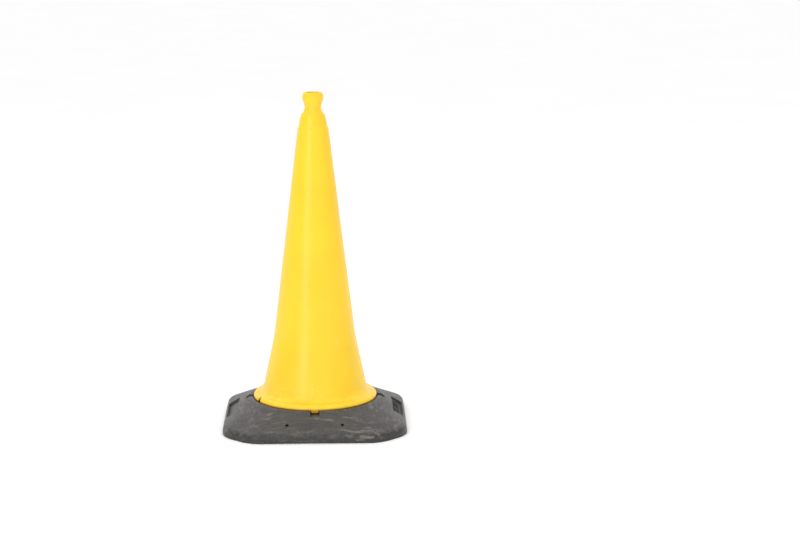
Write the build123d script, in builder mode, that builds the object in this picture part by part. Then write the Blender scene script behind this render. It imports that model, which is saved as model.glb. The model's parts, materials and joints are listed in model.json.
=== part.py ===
"""Two-part traffic cone: a hollow moulded body that an eighth of a turn locks into a heavy base.

Millimetres, +Z up. The origin is on the ground under the middle of the base.
"""
from build123d import *
import os
from math import atan2, cos, pi, radians, sin, tan

os.makedirs("parts", exist_ok=True)

# Whole cone
HEIGHT = 750.0
WALL = 3.0

# Body: the grip at the top, radii and levels of the outer surface
SOCKET_RADIUS = 15.5
SOCKET_LENGTH = 48.0
GRIP_CREST_RADIUS = 19.6
GRIP_ROUND_POINT = (22.6, HEIGHT - 5.1)
GRIP_RADIUS = 23.4
GRIP_LEVEL = HEIGHT - 11
GRIP_SIDE_POINT = (23.3, HEIGHT - 14)
GRIP_FOOT_RADIUS = 22.8
GRIP_FOOT_LEVEL = HEIGHT - 17
NECK_RADIUS = 18.3
NECK_LEVEL = HEIGHT - 32
SHOULDER_RADIUS = 26.4
SHOULDER_LEVEL = HEIGHT - 50
SHOULDER_FOOT_RADIUS = 29.3
SHOULDER_FOOT_LEVEL = HEIGHT - 60
NECK_START_TANGENT = (-0.3, -1)
NECK_END_TANGENT = (0.3, -1)

# Body: the step that a reflective sleeve slides up to, then two straight tapers
STEP_TOP_RADIUS = 31.8
STEP_TOP_LEVEL = HEIGHT - 75
STEP_RADIUS = 34.3
STEP_LEVEL = HEIGHT - 80
TAPER_FOOT_RADIUS = 91.8
TAPER_FOOT_LEVEL = 200.0
BELL_FOOT_RADIUS = 117.0
BELL_FOOT_LEVEL = 82.0
SOCKET_SHOULDER = 4.0
INNER_BELL_DROP = 6.0

# Body: flange, its lip and the spigot under it
FLANGE_RADIUS = 140.0
FLANGE_CREST_RADIUS = 130.0
FLANGE_CREST_LEVEL = 68.5
FLANGE_HOLLOW_POINT = (121.0, 72.6)
FLANGE_ROUND_POINT = (137.2, 65.6)
FLANGE_EDGE_LEVEL = 59.5
FLANGE_UNDERSIDE = 63.0
LIP_THICKNESS = 3.5
LIP_BOTTOM = 57.0
TAB_BOTTOM = 51.0
TAB_TOP_WIDTH = 19.0
TAB_BOTTOM_WIDTH = 14.0
NOTCH_WIDTH = 12.0
NOTCH_DEPTH = 6.0
NOTCH_ANGLE = 25.0
SPIGOT_OUTER_RADIUS = 119.5
SPIGOT_INNER_RADIUS = 115.5
SPIGOT_BOTTOM = 26.0

# Bayonet: four lugs on the spigot, under a ledge in the base
LUG_COUNT = 4
LUG_RADIUS = 129.0
LUG_BOTTOM = 27.0
LUG_TOP = 35.8
LUG_HALF_ANGLE = 10.0
LOCKED_ANGLE = 45.0
TWIST = 45.0
SLOT_HALF_ANGLE = 12.5
STOP_PLAY_ANGLE = 0.5

TRACK_HALF_ANGLE = TWIST / 2 + LUG_HALF_ANGLE + STOP_PLAY_ANGLE
BLOCK_HALF_ANGLE = 180 / LUG_COUNT - TRACK_HALF_ANGLE
BLOCK_MIDDLE = LOCKED_ANGLE + TWIST / 2 + 180 / LUG_COUNT

# Base: outer shape
BASE_HALF_WIDTH = 206.0
CORNER_LEG = 62.0
CORNER_RADIUS = 72.0
SKIRT_HEIGHT = 18.0
SKIRT_ROUND = 16.0
RING_RADIUS = 150.0
RING_LEVEL = 57.5
RING_ROUND = 2.5
ARCH_HEIGHT = 2.5
ARCH_HALF_SPAN = 125.0

# Base: seat for the body
SEAT_RADIUS = 120.3
LEDGE_UNDERSIDE = 36.2
LEDGE_RADIUS = 134.0
TRACK_RADIUS = 132.0
SLOT_RADIUS = 130.5
CHANNEL_RADIUS = 141.2
CHANNEL_FLOOR = 49.5
RING_NOTCH_WIDTH = 20.0
RING_NOTCH_REACH = 170.0

# Base: hollow underside
HUB_RADIUS = 142.0
POCKET_HALF_WIDTH = 192.0
POCKET_CORNER_LEG = 70.0
POCKET_CORNER_RADIUS = 58.0
POCKET_SKIRT = 8.0
POCKET_TOP_RADIUS = 146.0
POCKET_TOP = 40.0
RIB_COUNT = 16
RIB_THICKNESS = 8.0

# Base: blind holes and label recesses on the slopes
HOLE_RADIUS = 3.2
HOLE_DEPTH = 5.0
HOLE_HALF_SPACING = 61.0
HOLE_DISTANCE = 179.5
RECESS_LENGTH = 120.0
RECESS_WIDTH = 28.0
RECESS_DEPTH = 6.5
RECESS_DISTANCE = 188.0
RECESS_ROUND = 4.0
BAR_COUNT = 5
BAR_PITCH = 18.0
BAR_WIDTH = 5.0
BAR_LENGTH = 16.0
BAR_HEIGHT = 3.0

# Lengths that only have to reach past what they cut, or bite into what they join
FAR = 300.0
RECESS_REACH = 30.0
BITE = 1.0


def slope_normal_angle():
    """Angle between the slope's normal and the vertical, in radians, in the middle of a side."""
    return atan2(RING_LEVEL - SKIRT_HEIGHT, BASE_HALF_WIDTH - RING_RADIUS)


def slope_plane(distance, azimuth, aside=0.0):
    """Plane on the base's slope at this distance from the axis, its X along the side, its Z outwards."""
    lean = slope_normal_angle()
    level = RING_LEVEL - (distance - RING_RADIUS) * tan(lean)
    outward = Vector(cos(radians(azimuth)), sin(radians(azimuth)), 0)
    along = Vector(-outward.Y, outward.X, 0)
    origin = outward * distance + along * aside + Vector(0, 0, level)
    normal = outward * sin(lean) + Vector(0, 0, cos(lean))
    return Plane(origin=origin, x_dir=along, z_dir=normal)


def cut_square(level, half_width, leg, radius):
    """A square face with 45 degree corners of this leg, all eight of its corners rounded."""
    near = half_width - leg
    eighth = [(half_width, -near), (half_width, near)]
    points = [
        (x * cos(turn) - y * sin(turn), x * sin(turn) + y * cos(turn))
        for turn in (0, pi / 2, pi, 3 * pi / 2)
        for x, y in eighth
    ]
    with BuildSketch(Plane.XY.offset(level)) as outline:
        with BuildLine():
            FilletPolyline(*points, radius=radius, close=True)
        make_face()
    return outline.sketch


def split_circle(level, radius, below):
    """A round face whose edge is split at the azimuths of the vertices of the face below it."""
    azimuths = sorted(atan2(v.Y, v.X) for v in below.vertices())
    azimuths.append(azimuths[0] + 2 * pi)
    with BuildSketch(Plane.XY.offset(level)) as disc:
        with BuildLine():
            for start, end in zip(azimuths, azimuths[1:]):
                middle = (start + end) / 2
                ThreePointArc(*[(radius * cos(a), radius * sin(a)) for a in (start, middle, end)])
        make_face()
    return disc.sketch


def ring_sectors(bottom, top, inner_radius, outer_radius, half_angle, middle):
    """Solid stretches of a ring, one for each lug, each half_angle to either side of its middle."""
    spread = radians(half_angle)
    with BuildPart() as pieces:
        with BuildSketch(Plane.XY.offset(bottom)):
            with PolarLocations(0, LUG_COUNT, start_angle=middle):
                Polygon(
                    (0, 0),
                    (2 * outer_radius * cos(spread), -2 * outer_radius * sin(spread)),
                    (2 * outer_radius * cos(spread), 2 * outer_radius * sin(spread)),
                    align=None,
                )
            Circle(outer_radius, mode=Mode.INTERSECT)
            Circle(inner_radius, mode=Mode.SUBTRACT)
        extrude(amount=top - bottom)
    return pieces.part


# ---------------------------------------------------------------- cone body
# Witness tabs: two stretches of the lip that reach further down
with BuildPart() as tabs:
    with BuildSketch(Plane.XY.offset(TAB_BOTTOM)):
        Circle(FLANGE_RADIUS)
        Circle(FLANGE_RADIUS - LIP_THICKNESS, mode=Mode.SUBTRACT)
    extrude(amount=LIP_BOTTOM + BITE - TAB_BOTTOM)
    with BuildSketch(Plane.XZ):
        with BuildLine():
            Polyline(
                (-TAB_TOP_WIDTH / 2, LIP_BOTTOM + BITE),
                (-TAB_BOTTOM_WIDTH / 2, TAB_BOTTOM),
                (TAB_BOTTOM_WIDTH / 2, TAB_BOTTOM),
                (TAB_TOP_WIDTH / 2, LIP_BOTTOM + BITE),
                close=True,
            )
        make_face()
    extrude(amount=FAR, both=True, mode=Mode.INTERSECT)

inner_step_radius = STEP_RADIUS - WALL
socket_bottom = HEIGHT - SOCKET_LENGTH

with BuildPart() as cone_body:
    with BuildSketch(Plane.XZ):
        with BuildLine():
            # Outside, from the rim of the socket down to the lip
            Line((SOCKET_RADIUS, HEIGHT), (GRIP_CREST_RADIUS, HEIGHT))
            ThreePointArc((GRIP_CREST_RADIUS, HEIGHT), GRIP_ROUND_POINT, (GRIP_RADIUS, GRIP_LEVEL))
            ThreePointArc(
                (GRIP_RADIUS, GRIP_LEVEL),
                GRIP_SIDE_POINT,
                (GRIP_FOOT_RADIUS, GRIP_FOOT_LEVEL),
            )
            Spline(
                (GRIP_FOOT_RADIUS, GRIP_FOOT_LEVEL),
                (NECK_RADIUS, NECK_LEVEL),
                (SHOULDER_RADIUS, SHOULDER_LEVEL),
                (SHOULDER_FOOT_RADIUS, SHOULDER_FOOT_LEVEL),
                tangents=(NECK_START_TANGENT, NECK_END_TANGENT),
            )
            Line((SHOULDER_FOOT_RADIUS, SHOULDER_FOOT_LEVEL), (STEP_TOP_RADIUS, STEP_TOP_LEVEL))
            Line((STEP_TOP_RADIUS, STEP_TOP_LEVEL), (STEP_RADIUS, STEP_LEVEL))
            Line((STEP_RADIUS, STEP_LEVEL), (TAPER_FOOT_RADIUS, TAPER_FOOT_LEVEL))
            Line((TAPER_FOOT_RADIUS, TAPER_FOOT_LEVEL), (BELL_FOOT_RADIUS, BELL_FOOT_LEVEL))
            ThreePointArc(
                (BELL_FOOT_RADIUS, BELL_FOOT_LEVEL),
                FLANGE_HOLLOW_POINT,
                (FLANGE_CREST_RADIUS, FLANGE_CREST_LEVEL),
            )
            ThreePointArc(
                (FLANGE_CREST_RADIUS, FLANGE_CREST_LEVEL),
                FLANGE_ROUND_POINT,
                (FLANGE_RADIUS, FLANGE_EDGE_LEVEL),
            )
            Line((FLANGE_RADIUS, FLANGE_EDGE_LEVEL), (FLANGE_RADIUS, LIP_BOTTOM))
            # Underside of the flange, and the spigot
            Polyline(
                (FLANGE_RADIUS, LIP_BOTTOM),
                (FLANGE_RADIUS - LIP_THICKNESS, LIP_BOTTOM),
                (FLANGE_RADIUS - LIP_THICKNESS, FLANGE_UNDERSIDE),
                (SPIGOT_OUTER_RADIUS, FLANGE_UNDERSIDE),
                (SPIGOT_OUTER_RADIUS, SPIGOT_BOTTOM),
                (SPIGOT_INNER_RADIUS, SPIGOT_BOTTOM),
                (SPIGOT_INNER_RADIUS, FLANGE_UNDERSIDE),
            )
            # Inside, back up to the socket
            Polyline(
                (SPIGOT_INNER_RADIUS, FLANGE_UNDERSIDE),
                (BELL_FOOT_RADIUS - WALL, BELL_FOOT_LEVEL - INNER_BELL_DROP),
                (TAPER_FOOT_RADIUS - WALL, TAPER_FOOT_LEVEL),
                (inner_step_radius, STEP_LEVEL),
                (SHOULDER_FOOT_RADIUS - WALL, SHOULDER_FOOT_LEVEL),
                (SOCKET_RADIUS + SOCKET_SHOULDER, socket_bottom),
                (SOCKET_RADIUS, socket_bottom),
                (SOCKET_RADIUS, HEIGHT),
            )
        make_face()
    revolve(axis=Axis.Z)
    add(tabs.part)
    # Bayonet lugs round the spigot
    add(
        ring_sectors(
            LUG_BOTTOM, LUG_TOP, SPIGOT_OUTER_RADIUS - BITE, LUG_RADIUS, LUG_HALF_ANGLE, LOCKED_ANGLE
        )
    )
    # Two notches in the edge of the flange
    with BuildSketch(Plane.XY.offset(TAB_BOTTOM - BITE)):
        with PolarLocations(FLANGE_RADIUS, 2, start_angle=NOTCH_ANGLE):
            RectangleRounded(2 * NOTCH_DEPTH, NOTCH_WIDTH, NOTCH_DEPTH / 2)
    extrude(amount=FAR, mode=Mode.SUBTRACT)

# ---------------------------------------------------------------- base
# The hollow under the slopes, as the solid that is taken out of the base
with BuildPart() as pockets:
    add(cut_square(0, POCKET_HALF_WIDTH, POCKET_CORNER_LEG, POCKET_CORNER_RADIUS))
    extrude(amount=POCKET_SKIRT)
    pocket_outline = cut_square(POCKET_SKIRT, POCKET_HALF_WIDTH, POCKET_CORNER_LEG, POCKET_CORNER_RADIUS)
    pocket_ceiling = split_circle(POCKET_TOP, POCKET_TOP_RADIUS, pocket_outline)
    loft([pocket_outline.face(), pocket_ceiling.face()], ruled=True)
    with BuildSketch(Plane.XY):
        Circle(HUB_RADIUS)
        with PolarLocations(FAR / 2, RIB_COUNT):
            Rectangle(FAR, RIB_THICKNESS)
    extrude(amount=POCKET_TOP, mode=Mode.SUBTRACT)

with BuildPart() as base:
    skirt_outline = cut_square(SKIRT_HEIGHT, BASE_HALF_WIDTH, CORNER_LEG, CORNER_RADIUS)
    add(cut_square(0, BASE_HALF_WIDTH, CORNER_LEG, CORNER_RADIUS))
    extrude(amount=SKIRT_HEIGHT)
    loft([skirt_outline.face(), split_circle(RING_LEVEL, RING_RADIUS, skirt_outline).face()], ruled=True)
    fillet(base.edges().filter_by_position(Axis.Z, SKIRT_HEIGHT, SKIRT_HEIGHT), SKIRT_ROUND)
    fillet(base.edges().group_by(Axis.Z)[-1], RING_ROUND)
    # Seat, channel round it, and the ledge that the lugs turn under
    with BuildSketch(Plane.XY.offset(CHANNEL_FLOOR)):
        Circle(CHANNEL_RADIUS)
    extrude(amount=FAR, mode=Mode.SUBTRACT)
    with BuildSketch(Plane.XY.offset(CHANNEL_FLOOR)):
        Circle(LEDGE_RADIUS)
    extrude(amount=FLANGE_UNDERSIDE - CHANNEL_FLOOR)
    with BuildSketch(Plane.XY):
        Circle(SEAT_RADIUS)
    extrude(amount=FAR, mode=Mode.SUBTRACT)
    with BuildSketch(Plane.XY):
        Circle(TRACK_RADIUS)
    extrude(amount=LEDGE_UNDERSIDE, mode=Mode.SUBTRACT)
    # Entry slots for the lugs, down through the ledge
    add(
        ring_sectors(
            0, FAR, SEAT_RADIUS - BITE, SLOT_RADIUS, SLOT_HALF_ANGLE, LOCKED_ANGLE + TWIST
        ),
        mode=Mode.SUBTRACT,
    )
    # Blocks in the lugs' track, which stop the twist at both ends
    add(
        ring_sectors(
            LUG_BOTTOM, LEDGE_UNDERSIDE, SEAT_RADIUS, TRACK_RADIUS + BITE, BLOCK_HALF_ANGLE, BLOCK_MIDDLE
        )
    )
    # Notches in the ring at the top of the slopes, one in the middle of each side
    with BuildSketch(Plane.XY.offset(CHANNEL_FLOOR)):
        with PolarLocations((LEDGE_RADIUS + RING_NOTCH_REACH) / 2 + BITE, 4):
            Rectangle(RING_NOTCH_REACH - LEDGE_RADIUS - 2 * BITE, RING_NOTCH_WIDTH)
    extrude(amount=FAR, mode=Mode.SUBTRACT)
    # Hollow underside, and the arch that leaves the base standing on its four corners
    add(pockets.part, mode=Mode.SUBTRACT)
    for arch_plane in (Plane.XZ, Plane.YZ):
        with BuildSketch(arch_plane):
            with BuildLine():
                ThreePointArc((-ARCH_HALF_SPAN, 0), (0, ARCH_HEIGHT), (ARCH_HALF_SPAN, 0))
                Line((ARCH_HALF_SPAN, 0), (-ARCH_HALF_SPAN, 0))
            make_face()
        extrude(amount=FAR, both=True, mode=Mode.SUBTRACT)
    # Two blind holes in the front slope and two in the back one
    for azimuth in (90, 270):
        for aside in (-HOLE_HALF_SPACING, HOLE_HALF_SPACING):
            with BuildSketch(slope_plane(HOLE_DISTANCE, azimuth, aside)):
                Circle(HOLE_RADIUS)
            extrude(amount=HOLE_DEPTH, both=True, mode=Mode.SUBTRACT)
    # A label recess in each side slope, the right-hand one with plain bars standing on its floor
    for azimuth in (0, 180):
        with BuildSketch(slope_plane(RECESS_DISTANCE, azimuth).offset(-RECESS_DEPTH)):
            RectangleRounded(RECESS_LENGTH, RECESS_WIDTH, RECESS_ROUND)
        extrude(amount=RECESS_REACH, mode=Mode.SUBTRACT)
    with BuildSketch(slope_plane(RECESS_DISTANCE, 0).offset(-RECESS_DEPTH)):
        with GridLocations(BAR_PITCH, 0, BAR_COUNT, 1):
            Rectangle(BAR_WIDTH, BAR_LENGTH)
    extrude(amount=BAR_HEIGHT)

for piece, name in ((cone_body, "cone_body"), (base, "base")):
    piece.part.label = name
    export_step(piece.part, f"parts/{name}.step")
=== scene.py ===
"""The finished look of a two-part traffic cone, built round its CAD frame and in the frame's own place.

Run as a script: the frame is loaded, the classes are registered and their operators are called in order.
"""

import json
import math
from functools import partial

import bpy
import numpy as np
from bpy.props import FloatProperty, FloatVectorProperty, IntProperty, PointerProperty
from mathutils import Matrix, Vector, noise


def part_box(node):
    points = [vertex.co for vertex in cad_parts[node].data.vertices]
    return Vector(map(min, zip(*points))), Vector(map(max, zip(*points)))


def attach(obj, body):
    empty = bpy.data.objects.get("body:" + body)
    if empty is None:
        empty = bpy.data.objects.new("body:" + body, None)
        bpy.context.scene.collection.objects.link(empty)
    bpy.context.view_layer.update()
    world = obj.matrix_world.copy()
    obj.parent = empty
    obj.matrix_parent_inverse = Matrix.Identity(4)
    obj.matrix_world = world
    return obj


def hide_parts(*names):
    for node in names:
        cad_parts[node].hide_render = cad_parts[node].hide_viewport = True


bl_info = {
    "name": "Two-part traffic cone",
    "version": (1, 0, 0),
    "blender": (4, 5, 0),
    "location": "View3D > Sidebar > Cone",
    "description": "Makes the moulded body and base of a traffic cone, their materials and a plain studio",
    "category": "Add Mesh",
}

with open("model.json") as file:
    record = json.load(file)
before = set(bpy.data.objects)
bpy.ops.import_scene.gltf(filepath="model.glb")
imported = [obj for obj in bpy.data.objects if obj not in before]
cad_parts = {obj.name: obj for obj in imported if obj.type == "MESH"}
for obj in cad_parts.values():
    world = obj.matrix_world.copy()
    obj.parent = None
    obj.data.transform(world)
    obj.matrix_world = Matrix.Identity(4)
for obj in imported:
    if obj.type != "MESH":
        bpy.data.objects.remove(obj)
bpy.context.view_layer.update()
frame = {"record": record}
BODY_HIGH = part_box("cone_body")[1]
BASE_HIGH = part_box("base")[1]
SOCKET = next(m for m in frame["record"]["mounts"] if m["name"] == "top_socket")

MM = 0.001
TURN = 2 * math.pi
QUARTER = math.pi / 2

# Sizes of the frame's parts in mm. The CAD file can't be read from here, so they are said again.
TOP = BODY_HIGH.z / MM
SOCKET_RADIUS = SOCKET["dims"]["r_mm"]
SOCKET_END = TOP - SOCKET["dims"]["length_mm"]
GRIP_CREST = (19.4, TOP)
GRIP_CORNER = (21.0, TOP - 1.6)
GRIP_SIDE = (22.8, TOP - 5.6)
GRIP_WIDEST = (23.4, TOP - 11)
GRIP_LOWER_SIDE = (23.3, TOP - 14)
GRIP_FOOT = (22.8, TOP - 17)
NECK = (18.3, TOP - 32)
NECK_FOOT = (20.6, TOP - 41.5)
SHOULDER = (26.4, TOP - 50)
SHOULDER_FOOT = (29.3, TOP - 60)
STEP_TOP = (31.8, TOP - 75)
STEP = (34.3, TOP - 80)
TAPER_FOOT = (91.8, 200.0)
BELL_FOOT = (117.0, 82.0)
BELL_FOOT_INSIDE = 76.0
FLANGE_HOLLOW = (121.0, 72.6)
FLANGE_CREST = (130.0, 68.5)
FLANGE_ROUND = (137.2, 65.6)
FLANGE_RADIUS = BODY_HIGH.x / MM
FLANGE_UNDERSIDE = 63.0
LIP_TOP = 59.5
LIP_BOTTOM = 57.0
TAB_BOTTOM = 51.0
SPIGOT_OUTER = 119.5
SPIGOT_INNER = 115.5
SPIGOT_BOTTOM = 26.0
NOTCH_RADIUS = 134.0
NOTCH_ANGLE = 25.0
LUG_RADIUS = 129.0
LUG_TOP = 35.8
LUG_BOTTOM = 27.0
LUG_HALF_ANGLE = 10.0

BASE_HALF_WIDTH = BASE_HIGH.x / MM
RING_RADIUS = 150.0
RING_LEVEL = 57.5
CHANNEL_RADIUS = 141.2
CHANNEL_FLOOR = 49.5
LEDGE_RADIUS = 134.0
LEDGE_UNDERSIDE = 36.2
SEAT_RADIUS = 120.3
SLOT_RADIUS = 130.5
SLOT_HALF_ANGLE = 12.5
BLOCK_MIDDLE = 22.5
BLOCK_HALF_ANGLE = 12.0
TRACK_RADIUS = 132.0
HUB_RADIUS = 142.0
POCKET_TOP = 40.0
POCKET_INSET = 14.0
POCKET_EXTRA_LEG = 8.0
RIB_COUNT = 16
RIB_HALF_WIDTH = 4.0
ARCH_HEIGHT = 2.5
ARCH_HALF_SPAN = 125.0
ARCH_FADES_AT = 16.0
RING_NOTCH_EDGE = (9.2, 10.3)
RING_NOTCH_END = 175.0
LEDGE_WIDTH = 13.0
HOLE_RADIUS = 3.2
HOLE_DEPTH = 5.0
HOLE_DISTANCE = 179.5
HOLE_ASIDE = 61.0
RECESS_DISTANCE = 188.0
RECESS_DEPTH = 6.5
RECESS_HALF_LENGTH = 60.0
RECESS_HALF_WIDTH = 14.0
RECESS_ROUND = 4.0
BAR_PITCH = 18.0
BAR_HALF_WIDTH = 2.5
BAR_HALF_LENGTH = 8.0
BAR_HEIGHT = 3.0


# How many mesh rows each span of the base's section has, from the toe up, over and back underneath
BASE_ROWS = {
    "toe": 4,
    "skirt": 7,
    "shoulder": 9,
    "slope": 48,
    "ring_round": 5,
    "ring": 4,
    "channel_edge": 3,
    "channel_wall": 3,
    "channel_toe": 2,
    "channel_floor": 3,
    "ledge_wall": 3,
    "ledge_edge": 3,
    "ledge": 4,
    "seat_edge": 3,
    "seat": 3,
    "track_top": 5,
    "track": 4,
    "hub": 3,
    "pocket_in": 5,
    "pocket_top": 1,
    "pocket_slope": 9,
    "pocket_out": 4,
    "rim": 2,
}


# ---------------------------------------------------------------- sizes and colours that a user may change
class ConeBodySettings(bpy.types.PropertyGroup):
    """Sizes and colours of the yellow body."""

    wall: FloatProperty(
        name="Wall", description="Wall thickness of the moulding", default=3 * MM, unit="LENGTH"
    )
    lip: FloatProperty(
        name="Lip", description="Thickness of the flange's lip", default=3.5 * MM, unit="LENGTH"
    )
    columns: IntProperty(
        name="Columns", description="Mesh columns round the body", default=192, min=96
    )
    waviness: FloatProperty(
        name="Waviness", description="How far the wall wanders in or out", default=0.25 * MM, unit="LENGTH"
    )
    yellow: FloatVectorProperty(
        name="Yellow", description="Main colour of the plastic, sRGB", subtype="COLOR_GAMMA",
        default=(0.998, 0.812, 0.105), min=0, max=1,
    )


class ConeBaseSettings(bpy.types.PropertyGroup):
    """Sizes and colours of the base."""

    corner_leg: FloatProperty(
        name="Corner leg", description="Leg of the cut corners", default=62 * MM, unit="LENGTH"
    )
    corner_radius: FloatProperty(
        name="Corner radius", description="Rounding of the outline", default=72 * MM, unit="LENGTH"
    )
    skirt: FloatProperty(
        name="Skirt", description="Height of the upright edge", default=18 * MM, unit="LENGTH"
    )
    skirt_round: FloatProperty(
        name="Skirt round", description="Rounding over the upright edge", default=16 * MM, unit="LENGTH"
    )
    waviness: FloatProperty(
        name="Waviness", description="Depth of the dents left by moulding", default=0.8 * MM, unit="LENGTH"
    )
    grey: FloatVectorProperty(
        name="Grey", description="Main colour of the rubber, sRGB", subtype="COLOR_GAMMA",
        default=(0.190, 0.180, 0.175), min=0, max=1,
    )


class ConeStageSettings(bpy.types.PropertyGroup):
    """The camera's lens and place."""

    lens: FloatProperty(
        name="Lens", description="Focal length in mm on a 36 mm sensor", default=87.83, min=10
    )
    pitch: FloatProperty(
        name="Pitch", description="How far the camera looks down", default=math.radians(10.919),
        subtype="ANGLE",
    )
    distance: FloatProperty(
        name="Distance", description="Camera in front of the cone's axis", default=4.328, unit="LENGTH"
    )
    height: FloatProperty(
        name="Height", description="Camera above the ground", default=1.1907, unit="LENGTH"
    )
    aside: FloatProperty(
        name="Aside", description="Camera to the right of the cone's axis", default=0.1938, unit="LENGTH"
    )
    turn: FloatProperty(
        name="Turn", description="Camera's turn about the cone's axis", default=math.radians(-2.0),
        subtype="ANGLE",
    )


# ---------------------------------------------------------------- curves and meshes
def smooth(value, start, end):
    """0 before start, 1 after end, and an S-curve between them."""
    t = np.clip((value - start) / (end - start), 0, 1)
    return t * t * (3 - 2 * t)


def straight(start, end, count):
    """Points from start up to but not including end."""
    start, end = np.array(start, float), np.array(end, float)
    return [tuple(start + (end - start) * i / count) for i in range(count)]


def bend(start, corner, end, count):
    """Points from start up to but not including end, along a curve that turns at corner."""
    start, corner, end = (np.array(p, float) for p in (start, corner, end))
    points = []
    for i in range(count):
        t = i / count
        points.append(tuple(start * (1 - t) ** 2 + corner * 2 * t * (1 - t) + end * t * t))
    return points


def arc(start, via, end, count):
    """Points from start up to but not including end, on the circle through all three."""
    a, b, c = (complex(*p) for p in (start, via, end))
    w = (c - a) / (b - a)
    centre = (b - a) * (w - abs(w) ** 2) / (2j * w.imag) + a
    first, last = a - centre, c - centre
    sweep = math.remainder(math.atan2(last.imag, last.real) - math.atan2(first.imag, first.real), TURN)
    angles = [sweep * i / count for i in range(count)]
    turned = [first * complex(math.cos(angle), math.sin(angle)) for angle in angles]
    return [((centre + t).real, (centre + t).imag) for t in turned]


def curve_through(points, count):
    """Catmull-Rom points through the given ones, without the last."""
    p = [np.array(q, float) for q in points]
    p = [2 * p[0] - p[1]] + p + [2 * p[-1] - p[-2]]
    made = []
    for a, b, c, d in zip(p, p[1:], p[2:], p[3:]):
        for i in range(count):
            t = i / count
            cubic = (2 * a - 5 * b + 4 * c - d) * t**2 + (3 * b - a - 3 * c + d) * t**3
            made.append(tuple((2 * b + (c - a) * t + cubic) / 2))
    return made


def rounded_path(points, reaches, counts):
    """A path whose inner corners are rounded, each over its reach, without the last point."""
    p = [np.array(q, float) for q in points]
    path = []
    here = p[0]
    for corner, after, reach, count in zip(p[1:], p[2:], reaches, counts):
        before = corner + (here - corner) / np.linalg.norm(here - corner) * reach
        beyond = corner + (after - corner) / np.linalg.norm(after - corner) * reach
        path += straight(here, before, count)
        path += bend(before, corner, beyond, 4)
        here = beyond
    path += straight(here, p[-1], counts[-1])
    return path


def tube_mesh(name, grid, upwards):
    """A closed mesh from a grid of points in mm, rows x columns x 3, that wraps round both ways.

    Columns run anticlockwise seen from above; upwards says that the rows run up the outside.
    """
    rows, columns = grid.shape[:2]
    index = np.arange(rows * columns).reshape(rows, columns)
    right = np.roll(index, -1, axis=1)
    corners = [index, right, np.roll(right, -1, axis=0), np.roll(index, -1, axis=0)]
    faces = np.stack(corners if upwards else corners[::-1], axis=-1)
    mesh = bpy.data.meshes.new(name)
    mesh.from_pydata((grid.reshape(-1, 3) * MM).tolist(), [], faces.reshape(-1, 4).tolist())
    mesh.update()
    mesh.polygons.foreach_set("use_smooth", np.ones(len(mesh.polygons), bool))
    piece = bpy.data.objects.new(name, mesh)
    bpy.context.scene.collection.objects.link(piece)
    return piece


def wander(points, wavelength, seed):
    """Perlin noise, about -1 to 1, at each point."""
    shift = Vector((seed * 7.3, seed * 3.1, seed * 5.7))
    flat = points.reshape(-1, 3) / wavelength
    return np.array([noise.noise(Vector(p) + shift) for p in flat.tolist()]).reshape(points.shape[:-1])


def sharpen(piece, angle):
    """Keeps edges steeper than this angle in degrees crisp in a smooth-shaded mesh."""
    piece.data.set_sharp_from_angle(angle=math.radians(angle))


def around(angle, middle, period):
    """Signed angle from the nearest middle, where middles repeat every period, all in degrees."""
    return (angle - middle + period / 2) % period - period / 2


# ---------------------------------------------------------------- materials
def linear(colour):
    """An sRGB colour, as a hex string or three shares, as linear RGBA."""
    if isinstance(colour, str):
        colour = [int(colour[i : i + 2], 16) / 255 for i in (0, 2, 4)]
    return tuple(c / 12.92 if c <= 0.04045 else ((c + 0.055) / 1.055) ** 2.4 for c in colour) + (1.0,)


def add_node(tree, kind, inputs=None, **settings):
    """Adds a node, sets its settings, and gives each named or numbered input a value or a link."""
    made = tree.nodes.new(kind)
    for key, value in settings.items():
        setattr(made, key, value)
    for key, value in (inputs or {}).items():
        if isinstance(value, bpy.types.NodeSocket):
            tree.links.new(value, made.inputs[key])
        else:
            made.inputs[key].default_value = value
    return made


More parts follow.
